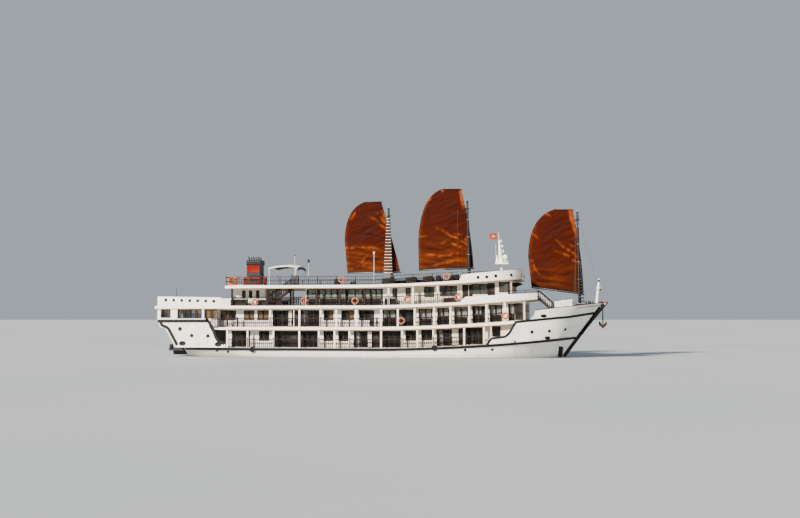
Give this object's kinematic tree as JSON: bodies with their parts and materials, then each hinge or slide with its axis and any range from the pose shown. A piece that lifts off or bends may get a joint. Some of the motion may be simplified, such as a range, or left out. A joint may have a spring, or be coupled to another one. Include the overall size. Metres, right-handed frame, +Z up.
{
  "type": "three-masted junk-style cruise ship, 1:2 scale model",
  "caption": "Junk-style cruise ship as a 1:2 scale model, with raised bow, galleried decks and rust-brown sails that swing on their masts.",
  "frame": {"origin": "on the waterline, amidships, on the centreline", "axes": "+X to the bow, +Y to port, +Z up"},
  "size_m": [27.3, 5.5182, 11.14],
  "materials": {
    "white_paint": "semi-gloss marine paint, weathered",
    "cream_paint": "satin cream paint",
    "deck_brown": "oiled brown decking with painted edge",
    "dark_wood": "dark varnished wood",
    "black_paint": "satin black paint, scuffed",
    "mast_black": "satin black paint",
    "orange_paint": "faded orange-red paint",
    "sail_cloth": "tanned rust-brown canvas with a soft sheen",
    "propeller_bronze": "dull bronze"
  },
  "bodies": {
    "ship": {"hull": "white_paint", "foredeck": "deck_brown", "stem_bar": "black_paint", "stern_shell": "white_paint", "swim_platform": "black_paint", "deck_middle": "deck_brown", "deck_upper": "deck_brown", "deck_sun": "deck_brown", "stern_bulwark": "white_paint", "bridge_bulwark": "white_paint", "sun_bulwark": "white_paint", "house_aft": "white_paint", "house_lower_aft_wall": "white_paint", "house_middle_aft_wall": "cream_paint", "house_middle_front": "cream_paint", "house_upper_aft_wall": "dark_wood", "house_upper_front": "cream_paint", "railing_sun_deck": "dark_wood", "mizzen_mast": "mast_black", "main_mast": "mast_black", "fore_mast": "mast_black", "stair_upper_to_sun": "dark_wood", "stairs_bow": "dark_wood", "funnel": "orange_paint", "awning": "white_paint", "signal_mast": "white_paint", "light_mast": "white_paint", "anchor": "black_paint", "windlass": "black_paint", "foredeck_lockers": "white_paint", "rub_strake_starboard": "black_paint", "house_lower_starboard": "white_paint", "house_middle_starboard": "cream_paint", "house_upper_starboard": "cream_paint", "gallery_lower_starboard": "white_paint", "gallery_middle_starboard": "white_paint", "gallery_upper_starboard": "white_paint", "life_floats_starboard": "orange_paint", "rub_strake_port": "black_paint", "house_lower_port": "white_paint", "house_middle_port": "cream_paint", "house_upper_port": "cream_paint", "gallery_lower_port": "white_paint", "gallery_middle_port": "white_paint", "gallery_upper_port": "white_paint", "life_floats_port": "orange_paint"},
    "mizzen_rig": {"mizzen_sail": "sail_cloth", "mizzen_spars": "dark_wood"},
    "main_rig": {"main_sail": "sail_cloth", "main_spars": "dark_wood"},
    "fore_rig": {"fore_sail": "sail_cloth", "fore_spars": "dark_wood"},
    "propeller_starboard": {"propeller_starboard": "propeller_bronze"},
    "rudder_starboard": {"rudder_starboard": "black_paint"},
    "door_lower_starboard": {"door_lower_starboard": "dark_wood"},
    "door_upper_starboard": {"door_upper_starboard": "dark_wood"},
    "propeller_port": {"propeller_port": "propeller_bronze"},
    "rudder_port": {"rudder_port": "black_paint"},
    "door_lower_port": {"door_lower_port": "dark_wood"},
    "door_upper_port": {"door_upper_port": "dark_wood"}
  },
  "joints": [
    {"name": "mizzen_sail_swing", "type": "hinge", "parent": "ship", "child": "mizzen_rig", "pos_m": [0.635, 0, 4.33138], "axis": [0.0492, 0, -0.9988], "range_deg": [0, 50]},
    {"name": "main_sail_swing", "type": "hinge", "parent": "ship", "child": "main_rig", "pos_m": [5.375, 0, 4.55288], "axis": [0.0254, 0, -0.9997], "range_deg": [0, 50]},
    {"name": "fore_sail_swing", "type": "hinge", "parent": "ship", "child": "fore_rig", "pos_m": [11.94, 0, 3.01669], "axis": [0.0176, 0, -0.9998], "range_deg": [0, 50]},
    {"name": "propeller_starboard_spin", "type": "hinge", "parent": "ship", "child": "propeller_starboard", "pos_m": [-10.175, -1.1, -0.55], "axis": [1, 0, 0], "continuous": true},
    {"name": "rudder_starboard_steer", "type": "hinge", "parent": "ship", "child": "rudder_starboard", "pos_m": [-10.775, -1.1, -0.21], "axis": [0, 0, 1], "range_deg": [-35, 35]},
    {"name": "door_lower_starboard_swing", "type": "hinge", "parent": "ship", "child": "door_lower_starboard", "pos_m": [4.944, -2.2, 0.7301], "axis": [0, 0, 1], "range_deg": [0, 90]},
    {"name": "door_upper_starboard_swing", "type": "hinge", "parent": "ship", "child": "door_upper_starboard", "pos_m": [5.544, -2.1, 3.2936], "axis": [0, 0, 1], "range_deg": [0, 90]},
    {"name": "propeller_port_spin", "type": "hinge", "parent": "ship", "child": "propeller_port", "pos_m": [-10.175, 1.1, -0.55], "axis": [1, 0, 0], "continuous": true},
    {"name": "rudder_port_steer", "type": "hinge", "parent": "ship", "child": "rudder_port", "pos_m": [-10.775, 1.1, -0.21], "axis": [0, 0, 1], "range_deg": [-35, 35]},
    {"name": "door_lower_port_swing", "type": "hinge", "parent": "ship", "child": "door_lower_port", "pos_m": [4.944, 2.2, 0.7301], "axis": [0, 0, -1], "range_deg": [0, 90]},
    {"name": "door_upper_port_swing", "type": "hinge", "parent": "ship", "child": "door_upper_port", "pos_m": [5.544, 2.1, 3.2936], "axis": [0, 0, -1], "range_deg": [0, 90]}
  ]
}
